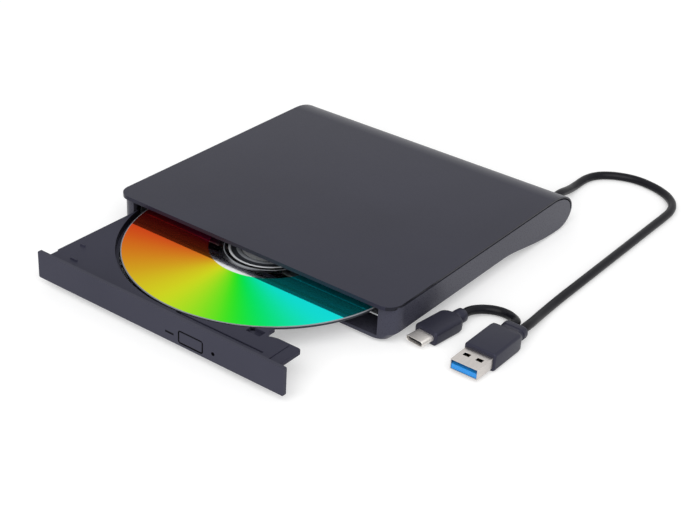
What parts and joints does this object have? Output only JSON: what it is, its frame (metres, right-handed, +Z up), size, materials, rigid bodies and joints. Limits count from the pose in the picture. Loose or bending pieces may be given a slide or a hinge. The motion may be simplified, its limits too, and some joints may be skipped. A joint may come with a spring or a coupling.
{
  "type": "external dvd drive",
  "caption": "Slim external disc drive with a half-open tray, a loaded disc, an eject button and a captive USB lead with A and C plugs.",
  "frame": {"origin": "middle of the drive's footprint with the tray drawn out as pictured, on the surface it stands on", "axes": "+X to the right seen from the tray's front, +Y from the tray towards the rear, +Z up"},
  "size_m": [0.1806, 0.2487, 0.018],
  "materials": {
    "cover_plastic": "fine spark-eroded satin",
    "case_plastic": "fine spark-eroded satin",
    "bezel_plastic": "satin moulded",
    "tray_plastic": "satin moulded",
    "foot_rubber": "matte",
    "dark_screw_steel": "blackened",
    "bright_steel": "rolled",
    "guide_plastic": "moulded",
    "board": "solder resist",
    "chip": "moulded epoxy",
    "connector": "moulded",
    "switch_plastic": "moulded",
    "coil": "enamelled wire",
    "motor_metal": "turned",
    "sled_metal": "die cast",
    "light_pipe": "smoked clear",
    "turntable_rubber": "matte",
    "disc_mirror": "iridescent reflective layer under clear polycarbonate",
    "lens": "coated",
    "cord_pvc": "smooth PVC jacket",
    "plug_plastic": "satin overmould",
    "plug_nickel": "nickel-plated sheet",
    "blue_insulator": "moulded",
    "contact_gold": "gold flash"
  },
  "bodies": {
    "case": {"top_cover": "cover_plastic", "bottom_case": "case_plastic", "front_feet": "foot_rubber", "rear_feet": "foot_rubber", "case_screws": "dark_screw_steel", "chassis_screws": "bright_steel", "drive_base_pan": "bright_steel", "drive_top_plate": "bright_steel", "left_rail_channel": "guide_plastic", "right_rail_channel": "guide_plastic", "main_board": "board", "main_chips": "chip", "drive_connector": "connector", "bridge_board": "board", "bridge_chips": "chip", "bridge_socket": "connector", "latch_post": "bright_steel", "cord_relief": "cord_pvc", "usb_cord": "cord_pvc", "usb_a_body": "plug_plastic", "usb_a_shell": "plug_nickel", "usb_a_tongue": "blue_insulator", "usb_a_contacts": "contact_gold", "pigtail_cord": "cord_pvc", "usb_c_body": "plug_plastic", "usb_c_shell": "plug_nickel", "usb_c_tongue": "connector"},
    "left_rail": {"left_slide_rail": "bright_steel"},
    "right_rail": {"right_slide_rail": "bright_steel"},
    "tray": {"tray": "tray_plastic", "tray_guard": "bright_steel", "front_bezel": "bezel_plastic", "led_lens": "light_pipe", "tray_board": "board", "eject_switch": "switch_plastic", "latch_solenoid": "coil", "mechanism_deck": "bright_steel", "deck_dampers": "foot_rubber", "spindle_motor": "motor_metal", "guide_rods": "bright_steel", "sled_motor": "motor_metal"},
    "eject_button": {"eject_button": "bezel_plastic"},
    "spindle": {"turntable": "turntable_rubber", "hub_claws": "motor_metal", "disc": "disc_mirror"},
    "lead_screw": {"lead_screw": "bright_steel"},
    "sled": {"pickup_sled": "sled_metal"},
    "lens": {"objective_lens": "lens"},
    "latch": {"latch_lever": "guide_plastic"}
  },
  "joints": [
    {"name": "tray_slide", "type": "slide", "parent": "case", "child": "tray", "axis": [0, -1, 0], "range_m": [-0.054, 0.076]},
    {"name": "left_rail_slide", "type": "slide", "parent": "case", "child": "left_rail", "axis": [0, -1, 0], "range_m": [-0.0275, 0.0385]},
    {"name": "right_rail_slide", "type": "slide", "parent": "case", "child": "right_rail", "axis": [0, -1, 0], "range_m": [-0.0275, 0.0385]},
    {"name": "eject_press", "type": "slide", "parent": "tray", "child": "eject_button", "axis": [0, 1, 0], "range_m": [0, 0.0006], "stiffness_N_per_m": 400, "springref_m": -0.0005},
    {"name": "spindle_spin", "type": "hinge", "parent": "tray", "child": "spindle", "pos_m": [0, -0.02775, 0.0108], "axis": [0, 0, 1], "continuous": true},
    {"name": "sled_slide", "type": "slide", "parent": "tray", "child": "sled", "axis": [-0.5736, -0.8192, 0], "range_m": [-0.0065, 0.026]},
    {"name": "screw_turn", "type": "hinge", "parent": "tray", "child": "lead_screw", "pos_m": [0.00387, -0.04767, 0.0076], "axis": [-0.5736, -0.8192, 0], "continuous": true},
    {"name": "lens_focus", "type": "slide", "parent": "sled", "child": "lens", "axis": [0, 0, 1], "range_m": [-0.0004, 0.0004], "stiffness_N_per_m": 60},
    {"name": "latch_swing", "type": "hinge", "parent": "tray", "child": "latch", "pos_m": [0.035, -0.08695, 0.0064], "axis": [0, 0, -1], "range_deg": [0, 14], "stiffness_Nm_per_rad": 0.002}
  ],
  "couplings": [
    {"joint": "left_rail_slide", "follows": "tray_slide", "ratio": 0.5},
    {"joint": "right_rail_slide", "follows": "tray_slide", "ratio": 0.5},
    {"joint": "screw_turn", "follows": "sled_slide", "rad_per_m": 2094.4}
  ]
}
